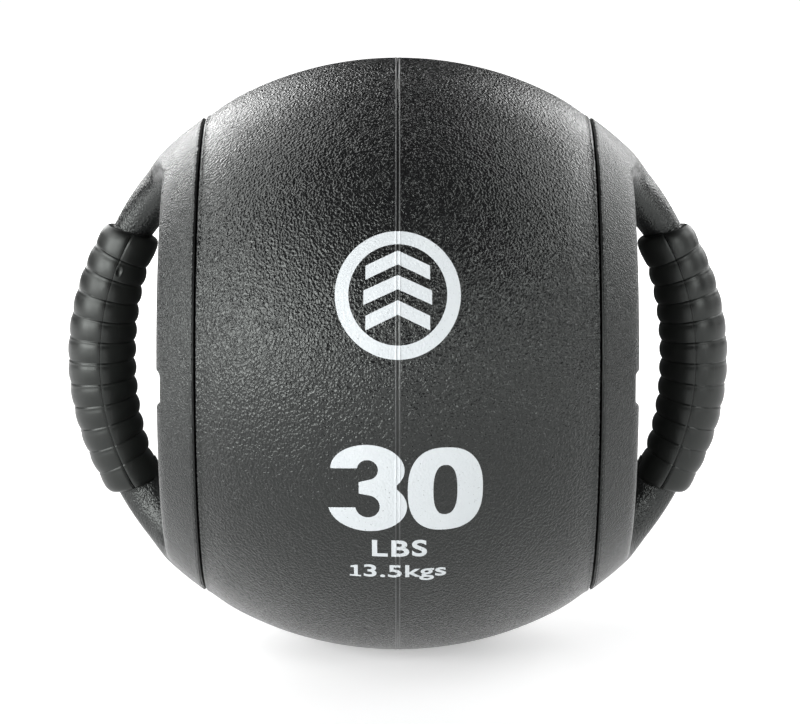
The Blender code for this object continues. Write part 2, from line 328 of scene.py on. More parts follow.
def outward(made):
    """Turns every face outwards, whichever way the grid was wound."""
    shape = bmesh.new()
    shape.from_mesh(made.data)
    bmesh.ops.recalc_face_normals(shape, faces=shape.faces)
    shape.to_mesh(made.data)
    shape.free()
    return made


def fixed_copy(made):
    """Replaces an object's mesh by its evaluated one, and drops the modifiers."""
    graph = bpy.context.evaluated_depsgraph_get()
    mesh = bpy.data.meshes.new_from_object(made.evaluated_get(graph))
    made.modifiers.clear()
    made.data = mesh
    return made


def remove(made):
    bpy.data.objects.remove(made, do_unlink=True)


def smoothstep(value, start, end):
    t = np.clip((value - start) / (end - start), 0, 1)
    return t * t * (3 - 2 * t)


def waves(phi, settings):
    """A sum of sines round a turn: a slow wobble that closes on itself."""
    return sum(size * np.sin(count * phi + shift) for count, size, shift in settings)


def hump(value, size, centre, width):
    """A smooth hump of a given size about a centre."""
    return size * np.exp(-(((value - centre) / width) ** 2))


# ---------------------------------------------------------------- the ball's surface
def ball_r(x):
    return BALL_B * np.sqrt(1 - (x / BALL_A) ** 2)


def seam_shift(x, phi):
    """How far the seam wanders sideways, fading out away from it."""
    kink = hump(phi, KINK_SIZE, KINK_TURN, KINK_WIDTH)
    return hump(x, SEAM_WOBBLE, 0, SEAM_FADE_X) * (waves(phi, SEAM_WAVES) + kink)


def cover_r(x, phi):
    """Radius of the grained surface. x is measured before the seam's sideways shift."""
    place = np.abs(x)
    ridge = hump(place, SEAM_HEIGHT, SEAM_X, SEAM_HALF_WIDTH) * (RIDGE_MEAN + waves(phi, RIDGE_WAVES))
    valley = SEAM_VALLEY * (1 - smoothstep(place, SEAM_X * 0.55, SEAM_X))
    sink = EDGE_SINK * smoothstep(place, EDGE_SINK_START, LIP_X) ** EDGE_SINK_POWER
    return ball_r(x) + ridge - valley - sink


def seam_stations():
    """X of the rings near the seam, crowded over its ridge."""
    ridge = [SEAM_X + SEAM_HALF_WIDTH * step for step in SEAM_RIDGE_STEPS]
    return [*SEAM_VALLEY_RINGS, *ridge]


def cover_stations():
    """X of the rings of the grained surface, from the seam to the rounded edge."""
    start = seam_stations()
    edge_x = LIP_X - LIP_ROUND
    turns = np.linspace(asin(start[-1] / BALL_A), asin(edge_x / BALL_A), COVER_RINGS)[1:]
    return start + [BALL_A * sin(turn) for turn in turns]


def make_cover(name, side, material):
    """Half of the ball: grained wall with its seam ridge, rounded lip, and flat wall behind the cap."""
    phi = np.linspace(0, 2 * pi, COVER_STEPS, endpoint=False)[None, :]
    stations = np.array(cover_stations())[:, None]
    outer_x = stations + side * seam_shift(stations, phi)
    outer_r = cover_r(stations, phi)
    edge_x = LIP_X - LIP_ROUND
    edge_r = cover_r(np.array([[edge_x]]), phi)
    lip_turns = np.linspace(0, pi / 2, LIP_RINGS)[1:, None]
    lip_x = edge_x + LIP_ROUND * np.sin(lip_turns) + 0 * phi
    lip_r = edge_r - LIP_ROUND * (1 - np.cos(lip_turns))
    lip_face = [(LIP_X, LIP_INNER_R + LIP_FACE), (LIP_X, LIP_INNER_R)]
    hidden = np.array(lip_face + [(SEAT_X, LIP_INNER_R), (SEAT_X, SIDE_WALL_HUB_R)])
    inner_x = SEAT_X - SIDE_WALL
    inner_a, inner_b = BALL_A - COVER_WALL, BALL_B - COVER_WALL
    wall_turns = np.linspace(asin(inner_x / inner_a), asin(GAP / 2 / inner_a), INSIDE_RINGS)
    wall = [(inner_a * sin(turn), inner_b * cos(turn)) for turn in wall_turns]
    inside = np.array([(inner_x, SIDE_WALL_HUB_R)] + wall)
    spread = np.ones_like(phi)
    # The chain starts on the axis at the seat, runs out over the lip to the seam, and back inside.
    rows_x = [hidden[::-1, :1] * spread, lip_x[::-1], outer_x[::-1], inside[::-1, :1] * spread]
    rows_r = [hidden[::-1, 1:] * spread, lip_r[::-1], outer_r[::-1], inside[::-1, 1:] * spread]
    grid = turned_grid(np.concatenate(rows_x), np.concatenate(rows_r), phi)
    points, faces = close_poles(grid, SEAT_X, inner_x)
    cover = outward(mesh_object(name, points, faces, material, side, sharp=None))
    if side * NECK_X > 0:
        cut_neck_hole(cover)
    cover.data.shade_smooth()
    cover.data.set_sharp_from_angle(angle=radians(50))
    return cover


def cut_neck_hole(cover):
    """The filler hole at the back, with a rounded mouth."""
    mouth_y = float(ball_r(NECK_X))
    end_y = mouth_y + NECK_CUT_PAST
    profile = [(NECK_CUT_FROM, 0), (NECK_CUT_FROM, NECK_HOLE_R)]
    for t in np.linspace(0, pi / 2, 6):
        profile.append((mouth_y - NECK_FLARE * (1 - sin(t)), NECK_HOLE_R + NECK_FLARE * (1 - cos(t))))
    profile += [(end_y, NECK_HOLE_R + NECK_FLARE), (end_y, 0)]
    points, faces = turned_solid(profile, NECK_STEPS)
    # The cutter is turned about X and then laid along Y.
    points = np.stack([NECK_X + points[:, 1], points[:, 0], points[:, 2]], axis=-1)
    cutter = outward(mesh_object("neck_cutter", points, faces, None))
    cut = cover.modifiers.new("neck", "BOOLEAN")
    cut.operation = "DIFFERENCE"
    cut.solver = "EXACT"
    cut.object = cutter
    fixed_copy(cover)
    remove(cutter)


# ---------------------------------------------------------------- side caps
def dish_x(r):
    return FLANK_X - (FLANK_X - DISH_FLOOR_X) * (1 - (r / DISH_MOUTH_R) ** DISH_POWER)


def cap_outline():
    """Half outline (x, r) of the cap without its horns, from the back's edge to the axis in the dish."""
    outline = [(SEAT_X + GAP, LIP_INNER_R - GAP), (CAP_BODY_X, LIP_INNER_R - GAP)]
    rim_x = FLANK_X - RIM_R
    outline += [(x, float(ball_r(x))) for x in np.linspace(CAP_BODY_X, rim_x, 12)]
    # The rim turns from the ellipse's slope to the flank with an arc of roughly RIM_R.
    slope = -BALL_B * rim_x / (BALL_A**2 * sqrt(1 - (rim_x / BALL_A) ** 2))
    start = np.array([rim_x, float(ball_r(rim_x))])
    corner = start + np.array([RIM_R, RIM_R * slope])
    end = corner - np.array([0, RIM_R * RIM_DEPTH_SHARE])
    for t in np.linspace(0, 1, 9)[1:]:
        outline.append(tuple((1 - t) ** 2 * start + 2 * t * (1 - t) * corner + t**2 * end))
    outline += [(dish_x(r), r) for r in np.linspace(DISH_MOUTH_R, 0, 40)]
    return np.array(outline)


def outline_distance(x, r, outline):
    """Signed distance, negative inside, to the closed outline mirrored about the axis."""
    mirrored = outline[outline[:, 1] > 0][::-1] * np.array([1, -1])
    loop = np.concatenate([outline, mirrored])
    best = np.full(x.shape, np.inf)
    inside = np.zeros(x.shape, dtype=bool)
    for (ax, ar), (bx, br) in zip(loop, np.roll(loop, -1, axis=0)):
        ex, er = bx - ax, br - ar
        length = ex * ex + er * er
        if length < SAME_POINT:
            continue
        px, pr = x - ax, r - ar
        t = np.clip((px * ex + pr * er) / length, 0, 1)
        best = np.minimum(best, (px - t * ex) ** 2 + (pr - t * er) ** 2)
        crosses = (ar > r) != (br > r)
        if er != 0:
            inside ^= crosses & (x < ax + ex * (r - ar) / er)
    return np.where(inside, -1, 1) * np.sqrt(best)


def horn_section(angle):
    """Centre offset, radial half thickness and half width of a horn. The lower one is deeper inside."""
    turn = np.degrees(np.clip(np.abs(angle) - HORN_START, 0, HORN_END - HORN_START))
    growths = (HORN_RADIAL_GROWTH, HORN_ACROSS_GROWTH)
    radial_r, across_r = [HORN_R + linear * turn + squared * turn**2 for linear, squared in growths]
    web = np.where(angle < 0, LOWER_HORN_WEB, 0)
    return HORN_OFFSET - web / 2, radial_r + web / 2, across_r


def centre_reach(angle):
    """Distance of the handle's centreline from the arc's centre."""
    return ARC_R + HANDLE_BOW * (1 - np.cos(pi * angle / BOW_END)) / 2


def horn_distance(p):
    """Rough signed distance to a cap's horns, swept ellipses, and how wide to blend them in."""
    dx = p[:, 0] - ARC_X
    dz = p[:, 2] + HANDLE_DROP
    angle = np.arctan2(dz, dx)
    offset, radial_r, across_r = horn_section(angle)
    radial = np.hypot(dx, dz) - centre_reach(angle) - offset
    across = p[:, 1]
    k1 = np.sqrt((radial / radial_r) ** 2 + (across / across_r) ** 2)
    k2 = np.sqrt((radial / radial_r**2) ** 2 + (across / across_r**2) ** 2)
    section = np.where(k2 > TINY, k1 * (k1 - 1) / np.maximum(k2, TINY), -np.minimum(radial_r, across_r))
    start = (HORN_HIDDEN - np.abs(angle)) * ARC_R
    end = (np.abs(angle) - HORN_END) * ARC_R
    outer_share = smoothstep(radial, -radial_r, radial_r)
    blend = HORN_BLEND_INNER + (HORN_BLEND_OUTER - HORN_BLEND_INNER) * outer_share
    return np.maximum(section, np.maximum(start, end)), blend


def smooth_min(a, b, k):
    """The smaller of two distances, with their crossing rounded over a width of k."""
    h = np.clip(0.5 + 0.5 * (b - a) / k, 0, 1)
    return b + (a - b) * h - k * h * (1 - h)


def cap_distance(p, outline):
    """Signed distance to the cap with its horns softly joined, and the shallow notches in its rim."""
    r = np.hypot(p[:, 1], p[:, 2])
    body = outline_distance(p[:, 0], r, outline)
    horn, blend = horn_distance(p)
    # The joint swells no further than the ball's ellipse, and rolls over softly there.
    ball = (np.sqrt((p[:, 0] / BALL_A) ** 2 + (r / BALL_B) ** 2) - 1) * BALL_B
    clip_round = HORN_CLIP_ROUND * smoothstep(horn, HORN_CLIP_REACH, 0) + HORN_CLIP_LEAST
    joined = -smooth_min(-smooth_min(body, horn, blend), -ball, clip_round)
    notch_x = FLANK_X - NOTCH_DEPTH - p[:, 0]
    notch_z = np.abs(p[:, 2]) - NOTCH_HALF_WIDTH
    notch = -smooth_min(-notch_x, -notch_z, 2 * NOTCH_ROUND)
    notch = np.where(r < NOTCH_INNER_R, 1.0, notch)
    return -smooth_min(-joined, notch, NOTCH_ROUND)


def gradient(p, outline, step=0.00005):
    """How the cap's distance changes along X, Y and Z."""
    slopes = []
    for axis in range(3):
        shift = np.zeros(3)
        shift[axis] = step
        slopes.append((cap_distance(p + shift, outline) - cap_distance(p - shift, outline)) / (2 * step))
    return np.stack(slopes, axis=-1)


def cap_mesh():
    """Points, faces and normals of the +X side's cap."""
    outline = cap_outline()
    points, faces = turned_solid([(outline[0, 0], 0), *outline], CAP_ROUGH_STEPS)
    parts = [outward(mesh_object("cap_rough", points, faces, None))]
    for end in ENDS.values():
        angles = np.linspace(end * HORN_HIDDEN, end * HORN_END, HORN_ROUGH_RINGS)
        parts.append(rough_horn(f"horn_rough_{end}", angles))
    joined = bmesh.new()
    for part in parts:
        joined.from_mesh(part.data)
        remove(part)
    mesh = bpy.data.meshes.new("cap_rough_joined")
    joined.to_mesh(mesh)
    joined.free()
    holder = placed("cap_rough_joined", mesh)
    remesh = holder.modifiers.new("remesh", "REMESH")
    remesh.mode = "VOXEL"
    remesh.voxel_size = CAP_VOXEL
    fixed_copy(holder)
    count = len(holder.data.vertices)
    flat = np.empty(count * 3)
    holder.data.vertices.foreach_get("co", flat)
    points = flat.reshape(-1, 3)
    faces = [tuple(face.vertices) for face in holder.data.polygons]
    remove(holder)
    for _ in range(CAP_SLIDES):
        slope = gradient(points, outline)
        square = np.maximum((slope**2).sum(axis=1), CAP_SLOPE_FLOOR)
        step = cap_distance(points, outline) / square
        step = np.clip(step, -CAP_SLIDE_LIMIT, CAP_SLIDE_LIMIT)
        points = points - slope * step[:, None]
    normals = gradient(points, outline)
    normals /= np.maximum(np.linalg.norm(normals, axis=1), TINY)[:, None]
    return points, faces, normals


def arc_points(angle, radial, across):
    """Points round the handle's centreline, at an angle along it."""
    reach = centre_reach(angle) + radial
    return np.stack([ARC_X + reach * np.cos(angle), across, reach * np.sin(angle) - HANDLE_DROP], axis=-1)


def rough_horn(name, angles):
    turns = np.linspace(0, 2 * pi, HORN_ROUGH_SIDES, endpoint=False)
    rings = []
    for angle in angles:
        offset, radial_r, across_r = horn_section(np.array(angle))
        rings.append(arc_points(angle, offset + radial_r * np.cos(turns), across_r * np.sin(turns)))
    points = np.concatenate(rings)
    faces = strip_faces(len(rings), HORN_ROUGH_SIDES)
    faces.append(tuple(range(HORN_ROUGH_SIDES)))
    faces.append(tuple(range(len(points) - HORN_ROUGH_SIDES, len(points)))[::-1])
    return outward(mesh_object(name, points, faces, None))


def make_flange(name, side, material):
    """The smooth bevelled strip of the cap that meets the cover's lip."""
    inner_r = LIP_INNER_R - GAP
    start_r = float(ball_r(FLANGE_X)) - FLANGE_DROP
    end_r = float(ball_r(FLANGE_END_X)) + FLANGE_PROUD
    bevel_x = FLANGE_X + FLANGE_SHOULDER
    tuck_x = FLANGE_END_X + FLANGE_TUCK_X
    profile = [(FLANGE_X, inner_r), (FLANGE_X, start_r - FLANGE_EDGE)]
    for t in np.linspace(0, 1, 8):
        r = start_r + (end_r - start_r) * t + FLANGE_BULGE * sin(pi * t)
        profile.append((bevel_x + (FLANGE_END_X - bevel_x) * t, r))
    profile += [(tuck_x, end_r - FLANGE_TUCK_R), (tuck_x, inner_r)]
    points, faces = turned_ring(profile, COVER_STEPS)
    return outward(mesh_object(name, points, faces, material, side, sharp=radians(60)))


# ---------------------------------------------------------------- grips
def grip_r(place, turn):
    """Radius of the sleeve. place runs from 0 at its lower end to 1, turn counts from outwards."""
    barrel = GRIP_END_R + (GRIP_MID_R - GRIP_END_R) * np.sin(pi * place)
    phase = place * RIB_COUNT % 1
    outward_share = np.clip(np.cos(turn), 0, 1) ** 2
    inward_share = np.clip(-np.cos(turn), 0, 1) ** 2
    depth = RIB_DEPTH_FRONT + (RIB_DEPTH_OUTER - RIB_DEPTH_FRONT) * outward_share
    depth = depth + (RIB_DEPTH_INNER - RIB_DEPTH_FRONT) * inward_share
    rib = 1 - np.abs(np.sin(pi * phase)) ** RIB_SHARPNESS
    edge = hump(phase, *RIB_LIP) - hump(phase, *RIB_DIP)
    radius = barrel - depth * rib + edge * (1 - inward_share)
    # Each end ring rounds over to the sleeve's mouth.
    reach = np.minimum(place, 1 - place) * RIB_COUNT * 2
    rise = np.sqrt(1 - (1 - np.clip(reach, 0, 1)) ** END_RING_POWER)
    rounded = SLEEVE_MOUTH_R + (barrel + END_RING_PROUD - SLEEVE_MOUTH_R) * rise
    return np.where(reach < 1, rounded, radius)


def grip_stations():
    """Places along the sleeve, crowded at the valleys and at the rounded ends."""
    places = []
    for rib in range(RIB_COUNT):
        for step in range(STATIONS_PER_RIB):
            t = step / STATIONS_PER_RIB
            eased = t - STATION_CROWDING * sin(2 * pi * t) / (2 * pi)
            places.append((rib + eased) / RIB_COUNT)
    return np.array(places + [1.0])


def make_grip(name, side, material, pit=None):
    """C-shaped ribbed sleeve, open along a fine slit at its front."""
    places = grip_stations()[:, None]
    ends = np.abs(2 * places - 1) ** 6
    half = SLIT_MID_HALF + (SLIT_END_HALF - SLIT_MID_HALF) * ends
    t = np.linspace(0, 1, GRIP_SIDES + 1)[None, :]
    eased = t - SIDE_CROWDING * np.sin(2 * pi * t) / (2 * pi)
    slit = half / GRIP_MEAN_R
    turn = SLIT_ANGLE + slit + eased * (2 * pi - 2 * slit)
    angle = GRIP_END * (2 * places - 1)
    # The two end rings are wedges: their mouths are nearly level, so they are longer on the inner side.
    into_end = smoothstep(np.abs(2 * places - 1) * RIB_COUNT / 2, RIB_COUNT / 2 - 1, RIB_COUNT / 2)
    angle = angle + np.sign(2 * places - 1) * END_RING_TILT * into_end * (0.5 - 0.5 * np.cos(turn))
    outer = grip_r(places + 0 * turn, turn)
    # The sleeve's edges roll in at the slit, mostly towards its ends.
    away = np.minimum(turn - SLIT_ANGLE, SLIT_ANGLE + 2 * pi - turn) * GRIP_MEAN_R - half
    outer = outer - hump(away, SLIT_LIP_DROP, 0, SLIT_LIP_WIDTH) * (0.2 + 0.8 * ends)
    if pit:
        outer = outer - pit(places, turn)
    inner = np.full_like(outer, BAR_R + GAP)
    wide = angle + 0 * turn
    outer_points = arc_points(wide, outer * np.cos(turn), outer * np.sin(turn))
    inner_points = arc_points(wide, inner * np.cos(turn), inner * np.sin(turn))[:, ::-1]
    ring = np.concatenate([outer_points, inner_points], axis=1)
    rows, columns = ring.shape[:2]
    faces = strip_faces(rows, columns)
    for row in (0, rows - 1):
        for column in range(GRIP_SIDES):
            opposite = columns - 1 - column
            corners = (column, column + 1, opposite - 1, opposite)
            faces.append(tuple(row * columns + place for place in corners))
    return outward(mesh_object(name, ring.reshape(-1, 3), faces, material, side, sharp=radians(60)))


def moulding_pit(places, turn):
    """A small dent with a raised rim beside the slit, near the left sleeve's upper end."""
    along = (places - PIT_PLACE) * 2 * GRIP_END * ARC_R
    around = (turn - SLIT_ANGLE - 2 * pi + PIT_FROM_SLIT) * PIT_SLEEVE_R
    away = np.sqrt((along / PIT_HALF_LENGTH) ** 2 + (around / PIT_HALF_WIDTH) ** 2)
    return hump(away, PIT_DEPTH, 0, 1) - hump(away, *PIT_RIM)


# ---------------------------------------------------------------- prints
def filled_shape(loops):
    """A flat filled mesh of closed loops of (x, s) points. A loop inside another is a hole."""
    curve = bpy.data.curves.new("outline", "CURVE")
    curve.dimensions = "2D"
    curve.fill_mode = "BOTH"
    for loop in loops:
        spline = curve.splines.new("POLY")
        spline.points.add(len(loop) - 1)
        for point, (x, s) in zip(spline.points, loop):
            point.co = (x, s, 0, 1)
        spline.use_cyclic_u = True
    return flat_mesh(curve)


def written(text, centre, size, weight, spacing):
    """A flat filled mesh of plain lettering, scaled to its width and height and centred on a point."""
    width, height = size
    letters = bpy.data.curves.new("lettering", "FONT")
    letters.body = text
    letters.size = height
    letters.offset = weight
    letters.space_character = spacing
    letters.resolution_u = 8
    shape = flat_mesh(letters)
    points = np.array([vert.co for vert in shape.verts])
    low, high = points.min(axis=0), points.max(axis=0)
    for vert in shape.verts:
        vert.co.x = centre[0] + (vert.co.x - (low[0] + high[0]) / 2) * width / (high[0] - low[0])
        vert.co.y = centre[1] + (vert.co.y - (low[1] + high[1]) / 2) * height / (high[1] - low[1])
    return shape


def flat_mesh(data):
    """The filled faces of a curve or of lettering, as an editable mesh."""
    holder = placed("flat", data)
    graph = bpy.context.evaluated_depsgraph_get()
    graph.update()
    mesh = bpy.data.meshes.new_from_object(holder.evaluated_get(graph))
    shape = bmesh.new()
    shape.from_mesh(mesh)
    remove(holder)
    bmesh.ops.remove_doubles(shape, verts=shape.verts, dist=SAME_PLACE)
    return shape


def draped(name, shape, material):
    """Cuts a flat print into cells and lays it on the ball's front as a thin closed film."""
    points = np.array([vert.co for vert in shape.verts])
    low, high = points.min(axis=0), points.max(axis=0)
    lines = [x * way for x in seam_stations() for way in (-1, 1)] + [0.0]
    lines += list(np.arange(low[0], high[0], INK_CELL))
    cuts = [(Vector((x, 0, 0)), Vector((1, 0, 0))) for x in lines if low[0] < x < high[0]]
    cuts += [(Vector((0, s, 0)), Vector((0, 1, 0))) for s in np.arange(low[1], high[1], INK_CELL)]
    for place, normal in cuts:
        geometry = list(shape.verts) + list(shape.edges) + list(shape.faces)
        bmesh.ops.bisect_plane(shape, geom=geometry, plane_co=place, plane_no=normal, dist=ON_CUT)
    extruded = bmesh.ops.extrude_face_region(shape, geom=list(shape.faces))
    raised = {item for item in extruded["geom"] if isinstance(item, bmesh.types.BMVert)}
    for vert in shape.verts:
        height = INK_THICK if vert in raised else -INK_ROOT
        x, phi = vert.co.x, vert.co.y / BALL_B
        radius = float(cover_r(np.array(x - seam_shift(x, phi)), phi)) + height
        vert.co = Vector((x, -radius * cos(phi), radius * sin(phi)))
    bmesh.ops.recalc_face_normals(shape, faces=shape.faces)
    mesh = bpy.data.meshes.new(name)
    shape.to_mesh(mesh)
    shape.free()
    mesh.shade_smooth()
    mesh.set_sharp_from_angle(angle=radians(40))
    mesh.materials.append(material)
    return placed(name, mesh)


def arc_loop(centre, radii, start, end, steps, power=2.0):
    """Points along a superellipse from one angle to another, in degrees."""
    loop = []
    for angle in np.radians(np.linspace(start, end, steps)):
        c, s = cos(angle), sin(angle)
        x = np.sign(c) * abs(c) ** (2 / power) * radii[0]
        y = np.sign(s) * abs(s) ** (2 / power) * radii[1]
        loop.append((centre[0] + float(x), centre[1] + float(y)))
    return loop


def zero_loops(centre):
    """A heavy numeral: a squarish oval round a narrow counter."""
    outer = arc_loop(centre, (0.0150, 0.0187), 0, 360, 97, 2.5)[:-1]
    inner = arc_loop(centre, (0.0048, 0.0112), 0, 360, 65, 2.5)[:-1]
    return [outer, inner]


def three_loops(centre):
    """A heavy numeral: two bowls outside, two round counters open to the left, and a bar at the waist."""
    x, s = centre
    upper, lower = (x - 0.0005, s + 0.0088), (x - 0.0005, s - 0.0076)
    loop = arc_loop(upper, (0.0148, 0.0107), 180, -38, 49)
    loop += arc_loop(lower, (0.0158, 0.0119), 42, -172, 49)
    loop += arc_loop(lower, (0.0049, 0.0052), -172, 75, 33)
    loop += [(x - 0.0040, s - 0.0018), (x - 0.0040, s + 0.0033)]
    loop += arc_loop(upper, (0.0042, 0.0043), -70, 172, 33)
    return [loop]


def one_loops(centre, size):
    """A numeral one with a flag and a slab foot, outlined in halves of its width and height."""
    outline = [(-1, -1), (1, -1), (1, -0.74), (0.42, -0.74), (0.42, 1), (0.05, 1)]
    outline += [(-0.85, 0.78), (-0.85, 0.52), (-0.24, 0.58), (-0.24, -0.74), (-1, -0.74)]
    return [[(centre[0] + x * size[0] / 2, centre[1] + s * size[1] / 2) for x, s in outline]]


def emblem_loops(centre):
    """A plain ring round three bold chevrons."""
    x, s = centre
    outer = arc_loop(centre, EMBLEM_RADII, 0, 360, 121)[:-1]
    inner = arc_loop(centre, EMBLEM_HOLE_RADII, 0, 360, 97)[:-1]
    loops = [outer, inner]
    for step in (-1, 0, 1):
        base = s + CHEVRON_PITCH * step - CHEVRON_DROP
        half = CHEVRON_HALF_WIDTH if step else MID_CHEVRON_HALF_WIDTH
        under = [(-half, 0), (0, CHEVRON_RISE), (half, 0)]
        over = [(dx, ds + CHEVRON_THICK) for dx, ds in reversed(under)]
        loops.append([(x + dx, base + ds) for dx, ds in under + over])
    return loops


# ---------------------------------------------------------------- materials
def new_material(name):
    material = bpy.data.materials.new(name)
    material.use_nodes = True
    tree = material.node_tree
    return material, tree, tree.nodes["Principled BSDF"]


def feed(tree, socket, value):
    if isinstance(value, bpy.types.NodeSocket):
        tree.links.new(value, socket)
    else:
        socket.default_value = value


def add(tree, kind, sockets, **settings):
    node = tree.nodes.new("ShaderNode" + kind)
    for key, value in settings.items():
        setattr(node, key, value)
    for key, value in sockets.items():
        feed(tree, node.inputs[key], value)
    return node


def calc(tree, operation, *values):
    node = tree.nodes.new("ShaderNodeMath")
    node.operation = operation
    for socket, value in zip(node.inputs, values):
        feed(tree, socket, value)
    return node.outputs[0]


def remap(tree, value, from_low, from_high, to_low, to_high):
    """Maps a range smoothly onto another, and holds beyond its ends."""
    sockets = {"Value": value, "From Min": from_low, "From Max": from_high}
    sockets.update({"To Min": to_low, "To Max": to_high})
    return add(tree, "MapRange", sockets, interpolation_type="SMOOTHSTEP").outputs[0]


def mixed(tree, factor, first, second):
    node = tree.nodes.new("ShaderNodeMix")
    node.data_type = "RGBA"
    for index, value in ((0, factor), (6, first), (7, second)):
        feed(tree, node.inputs[index], value)
    return node.outputs[2]


def noise(tree, place, scale, detail=2.0, roughness=0.5, distortion=0.0):
    sockets = {"Vector": place, "Scale": scale, "Detail": detail}
    sockets.update({"Roughness": roughness, "Distortion": distortion})
    return add(tree, "TexNoise", sockets).outputs["Fac"]


def mapped(tree, place, rotation=(0, 0, 0), scale=(1, 1, 1)):
    return add(tree, "Mapping", {"Vector": place, "Rotation": rotation, "Scale": scale}).outputs[0]


def warped(tree, place, scale, amount):
    """The place moved by a smooth noise, so that a regular pattern wanders."""
    wander = add(tree, "TexNoise", {"Vector": place, "Scale": scale, "Detail": 1.0}).outputs["Color"]
    centred = add(tree, "VectorMath", {0: wander, 1: (0.5, 0.5, 0.5)}, operation="SUBTRACT").outputs[0]
    moved = add(tree, "VectorMath", {0: centred, "Scale": amount}, operation="SCALE").outputs[0]
    return add(tree, "VectorMath", {0: place, 1: moved}, operation="ADD").outputs[0]


def object_place(tree):
    return tree.nodes.new("ShaderNodeTexCoord").outputs["Object"]


def colour(*parts):
    return (*parts, 1.0)


def leather_height(tree, place, pitch, tilt, stretch):
    """Moulded leather grain: pebbles under a single scale of wrinkles, longer along one diagonal."""
    flow = mapped(tree, place, rotation=(0, radians(tilt), 0), scale=(1, 1, stretch))
    flow = warped(tree, flow, 0.22 / pitch, pitch * 1.2)
    flow = warped(tree, flow, 1.0 / pitch, pitch * 0.8)
    cells = add(tree, "TexVoronoi", {"Vector": flow, "Scale": 1 / pitch}, feature="DISTANCE_TO_EDGE")
    pebble = remap(tree, cells.outputs["Distance"], 0.0, 0.45, 0.0, 1.0)
    wrinkle = noise(tree, flow, 1.15 / pitch, 0.0)
    return calc(tree, "ADD", calc(tree, "MULTIPLY", pebble, 0.22), calc(tree, "MULTIPLY", wrinkle, 1.25))


def coat(tree, shader, tone, rough, normal):
    """Feeds a look's colour, roughness and bumps to its shader."""
    for name, value in (("Base Color", tone), ("Roughness", rough), ("Normal", normal)):
        feed(tree, shader.inputs[name], value)


def bump(tree, height, distance, strength=1.0, under=None):
    sockets = {"Height": height, "Distance": distance, "Strength": strength}
    if under is not None:
        sockets["Normal"] = under
    return add(tree, "Bump", sockets).outputs[0]


def x_of(tree, place):
    """Distance from the ball's middle plane."""
    x = add(tree, "SeparateXYZ", {"Vector": place}).outputs["X"]
    return calc(tree, "ABSOLUTE", x)


def ball_rubber():
    """Grained black rubber: leather pebbles, smooth along the seam, dust and worn gloss here and there,
    painted shade in the grain's creases and a painted highlight along the seam's ridges.
    """
    material, tree, shader = new_material("grained_rubber_look")
    place = object_place(tree)
    height = leather_height(tree, place, GRAIN_PITCH, GRAIN_TILT, GRAIN_STRETCH)
    seam = remap(tree, x_of(tree, place), SEAM_X * 0.8, SEAM_X * 2.2, 0.25, 1.0)
    height = calc(tree, "MULTIPLY", height, seam)
    fine = noise(tree, place, 2600, 2.0)
    soft = noise(tree, place, 14, 4.0, 0.55)
    patches = noise(tree, place, 46, 3.0, 0.6)
    dark = mixed(tree, soft, colour(0.0050, 0.0052, 0.0054), colour(0.0085, 0.0087, 0.0090))
    # Grain ridges painted paler and creases darker: painted highlight and painted shade.
    high = mixed(tree, remap(tree, height, 0.35, 1.1, 0.0, 0.55), dark, colour(0.013, 0.0133, 0.0138))
    specks = remap(tree, noise(tree, place, 900, 1.0), 0.70, 0.76, 0.0, 0.5)
    tone = mixed(tree, calc(tree, "MULTIPLY", specks, patches), high, colour(0.07, 0.07, 0.069))
    # The seam's ridges are painted paler, a painted highlight along them.
    off_ridge = calc(tree, "ABSOLUTE", calc(tree, "SUBTRACT", x_of(tree, place), SEAM_X))
    seam_painted_highlight = remap(tree, off_ridge, SEAM_HALF_WIDTH * 0.5, SEAM_HALF_WIDTH * 1.6, 1.0, 0.0)
    seam_painted_highlight = calc(tree, "MULTIPLY", seam_painted_highlight, remap(tree, soft, 0.3, 0.7, 0.35, 0.9))
    tone = mixed(tree, seam_painted_highlight, tone, colour(0.085, 0.086, 0.088))
    worn = remap(tree, patches, 0.3, 0.7, 0.18, 0.27)
    creased = remap(tree, height, 0.2, 1.0, 0.08, -0.04)
    shader.inputs["Specular IOR Level"].default_value = RUBBER_SPECULAR
    shader.inputs["Specular Tint"].default_value = RUBBER_TINT
    normal = bump(tree, height, GRAIN_DEPTH, 1.0, bump(tree, fine, 0.00002, 0.5))
    coat(tree, shader, tone, calc(tree, "ADD", worn, creased), normal)
    return material


def cap_rubber():
    """Side cap rubber: a finer, softer grain than the ball's, coarser and wrinkled on the horns."""
    material, tree, shader = new_material("cap_rubber_look")
    place = object_place(tree)
    fine = leather_height(tree, place, CAP_PITCH, 20, 0.9)
    coarse = calc(tree, "MULTIPLY", leather_height(tree, place, CAP_PITCH * 1.1, -35, 0.8), 0.7)
    horn = remap(tree, x_of(tree, place), FLANK_X - 0.002, FLANK_X + 0.012, 0.0, 1.0)
    fine_part = calc(tree, "MULTIPLY", fine, calc(tree, "SUBTRACT", 1.0, horn))
    height = calc(tree, "ADD", fine_part, calc(tree, "MULTIPLY", coarse, horn))
    soft = noise(tree, place, 20, 4.0, 0.55)
    dark = mixed(tree, soft, colour(0.0070, 0.0072, 0.0075), colour(0.0115, 0.0118, 0.0122))
    # Grain ridges painted paler and creases darker: painted highlight and painted shade.
    tone = mixed(tree, remap(tree, height, 0.35, 1.1, 0.0, 0.5), dark, colour(0.018, 0.0184, 0.019))
    rough = remap(tree, soft, 0.3, 0.7, 0.23, 0.32)
    shader.inputs["Specular IOR Level"].default_value = RUBBER_SPECULAR
    shader.inputs["Specular Tint"].default_value = RUBBER_TINT
    coat(tree, shader, tone, rough, bump(tree, height, CAP_DEPTH))
    return material


